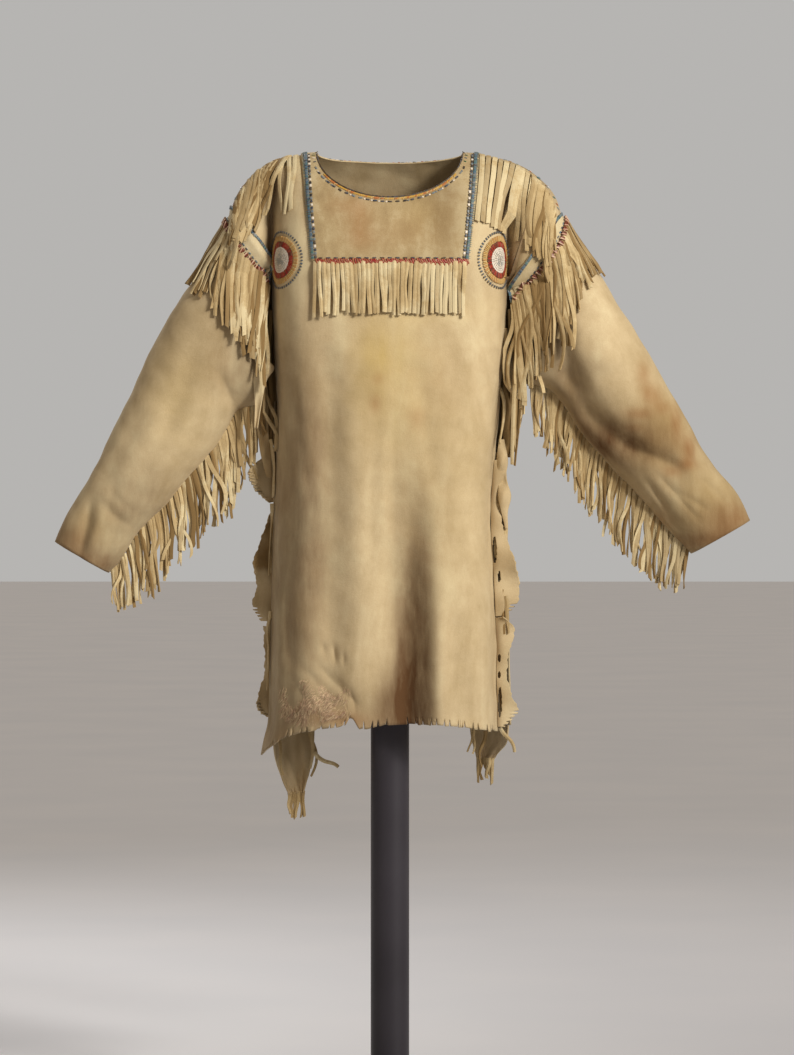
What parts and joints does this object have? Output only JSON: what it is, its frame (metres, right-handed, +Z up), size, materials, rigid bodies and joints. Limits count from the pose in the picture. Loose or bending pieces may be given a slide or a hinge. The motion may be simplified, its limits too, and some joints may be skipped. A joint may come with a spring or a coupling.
{
  "type": "fringed buckskin war shirt on a limbless column stand",
  "caption": "Hollow fringed hide shirt with a square bib, quilled discs and open sides, held out by a smooth shoulder form on a column and a round base.",
  "frame": {"origin": "centre of the round base's flat underside, below the column", "axes": "+Z up along the column, -Y out of the shirt's front, +X towards its right side as seen from the front"},
  "size_m": [1.085, 0.4, 1.5089],
  "materials": {
    "buckskin": "soft brain-tanned buckskin with a suede nap",
    "fringe_hide": "cut strips of the same hide",
    "blue_work": "blue and white stitched work",
    "red_work": "red and orange wrapped work",
    "disc_work": "dyed quillwork laid in rings",
    "form_cover": "plain stretched knit cover",
    "stand_paint": "satin dark grey paint"
  },
  "bodies": {
    "root": {"front_panel": "buckskin", "back_panel": "buckskin", "sleeve_left": "buckskin", "sleeve_right": "buckskin", "bib": "buckskin", "arm_band_left": "buckskin", "arm_band_right": "buckskin", "flap_left_leaf": "buckskin", "flap_left_upper": "buckskin", "flap_left_lower": "buckskin", "flap_right_upper": "buckskin", "flap_right_middle": "buckskin", "flap_right_lower": "buckskin", "leg_tab_left": "buckskin", "leg_tab_right": "buckskin", "bib_fringe": "fringe_hide", "shoulder_fringe_left": "fringe_hide", "shoulder_fringe_right": "fringe_hide", "arm_fringe_left": "fringe_hide", "arm_fringe_right": "fringe_hide", "sleeve_fringe_left": "fringe_hide", "sleeve_fringe_right": "fringe_hide", "bib_band_left": "blue_work", "bib_band_right": "blue_work", "bib_heading": "red_work", "rosette_left": "disc_work", "rosette_right": "disc_work", "stand_form": "form_cover", "stand_column": "stand_paint", "stand_base": "stand_paint"}
  },
  "joints": []
}
